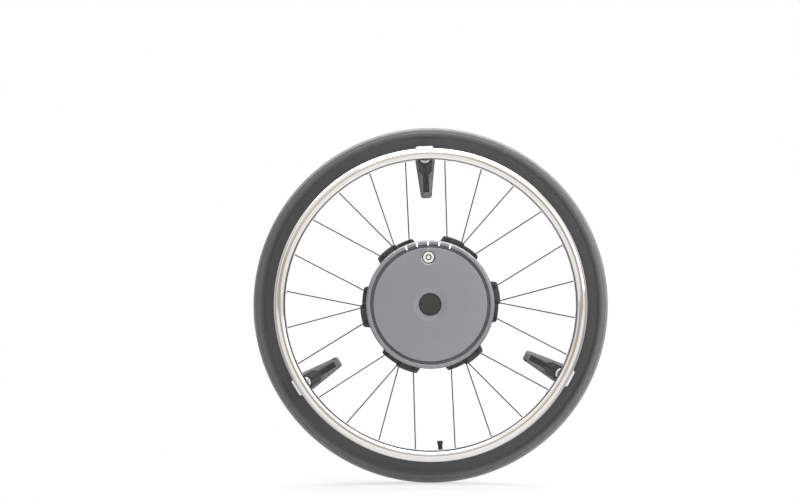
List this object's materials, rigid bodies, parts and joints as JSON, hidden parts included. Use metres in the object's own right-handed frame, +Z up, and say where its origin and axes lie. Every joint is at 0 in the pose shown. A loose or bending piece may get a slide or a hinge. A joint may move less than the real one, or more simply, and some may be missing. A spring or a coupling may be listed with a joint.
{
  "type": "wheelchair power assist wheel",
  "caption": "Wheelchair drive wheel with a hub motor and battery inside, a sprung push rim on three arms and a quick-release axle.",
  "frame": {"origin": "on the axle's centre line, in the plane where the sleeve's collar meets the axle receiver on the chair", "axes": "+Y along the axle towards the chair, so the wheel's outer face looks along -Y; +Z up; +X to the right seen from outside"},
  "size_m": [0.5898, 0.1965, 0.5898],
  "materials": {
    "tyre_rubber": "fine-textured slick tyre rubber",
    "soft_rubber": "matt black rubber",
    "rim_black": "black anodised rim",
    "spoke_black": "black coated steel",
    "pushrim_steel": "polished stainless steel",
    "arm_plastic": "glass-filled moulded plastic",
    "hub_black": "black coated casting",
    "face_grey": "satin blue-grey paint",
    "trim_silver": "satin silver",
    "cap_black": "black moulded plastic",
    "light_white": "clear white light guide",
    "steel": "turned steel",
    "copper": "enamelled copper wire",
    "magnet": "nickel-plated magnet",
    "core_iron": "laminated iron",
    "board_green": "printed circuit board",
    "part_black": "moulded electronic parts",
    "cell_wrap": "shrink-wrapped steel can",
    "tray_plastic": "light flame-proof plastic",
    "contact_silver": "nickel-plated contact",
    "tape_cloth": "woven rim tape"
  },
  "bodies": {
    "axle_unit": {"axle_tube": "steel", "axle_sleeve": "steel", "axle_circlip": "steel", "sleeve_nut": "steel", "magnet_carrier": "core_iron", "carrier_key": "steel", "magnet_yoke": "core_iron", "magnets": "magnet", "bearing_inner_races": "steel", "bearing_balls": "steel", "release_spring": "steel"},
    "release": {"release_cap": "cap_black", "release_rod": "steel"},
    "upper_ball": {"upper_lock_ball": "steel"},
    "lower_ball": {"lower_lock_ball": "steel"},
    "wheel": {"hub_drum": "hub_black", "back_cover": "hub_black", "back_cover_screws": "spoke_black", "shaft_seal": "soft_rubber", "bearing_plate": "trim_silver", "plate_screws": "steel", "bearing_outer_races": "steel", "winding_core": "core_iron", "windings": "copper", "control_board": "board_green", "board_standoffs": "steel", "board_parts": "part_black", "battery_tray": "tray_plastic", "battery_cells": "cell_wrap", "battery_lid": "tray_plastic", "front_cover": "face_grey", "cover_seal": "soft_rubber", "trim_ring": "trim_silver", "light_windows": "light_white", "light_board": "board_green", "socket_body": "cap_black", "button_dome": "soft_rubber", "front_spokes": "spoke_black", "rear_spokes": "spoke_black", "spoke_nipples": "spoke_black", "rim": "rim_black", "rim_tape": "tape_cloth", "inner_tube": "soft_rubber", "valve_stem": "soft_rubber", "valve_cap": "cap_black", "tyre": "tyre_rubber", "arm_top": "arm_plastic", "arm_left": "arm_plastic", "arm_right": "arm_plastic", "arm_screws": "spoke_black", "rivet_nuts": "steel", "spring_blades": "spoke_black", "blade_screws": "spoke_black", "stop_pads": "soft_rubber"},
    "pushrim": {"pushrim_tube": "pushrim_steel", "pushrim_bosses": "steel", "pushrim_screws": "steel"},
    "button": {"power_button": "contact_silver", "contact_ring": "cap_black", "contact_pin": "contact_silver"}
  },
  "joints": [
    {"name": "wheel_spin", "type": "hinge", "parent": "axle_unit", "child": "wheel", "pos_m": [0, -0.058, 0], "axis": [0, 1, 0], "continuous": true},
    {"name": "pushrim_turn", "type": "hinge", "parent": "wheel", "child": "pushrim", "pos_m": [0, -0.101, 0], "axis": [0, 1, 0], "range_deg": [-0.9, 0.9], "stiffness_Nm_per_rad": 900, "deforming": ["spring_blades"]},
    {"name": "release_press", "type": "slide", "parent": "axle_unit", "child": "release", "axis": [0, 1, 0], "range_m": [0, 0.005], "stiffness_N_per_m": 1500, "deforming": ["release_spring"]},
    {"name": "upper_ball_sink", "type": "slide", "parent": "axle_unit", "child": "upper_ball", "axis": [0, 0, -1], "range_m": [0, 0.00121]},
    {"name": "lower_ball_sink", "type": "slide", "parent": "axle_unit", "child": "lower_ball", "axis": [0, 0, 1], "range_m": [0, 0.00121]},
    {"name": "button_press", "type": "slide", "parent": "wheel", "child": "button", "axis": [0, 1, 0], "range_m": [0, 0.0012], "stiffness_N_per_m": 2500, "deforming": ["button_dome"]}
  ],
  "couplings": [
    {"joint": "upper_ball_sink", "follows": "release_press", "ratio": 0.24},
    {"joint": "lower_ball_sink", "follows": "release_press", "ratio": 0.24}
  ]
}
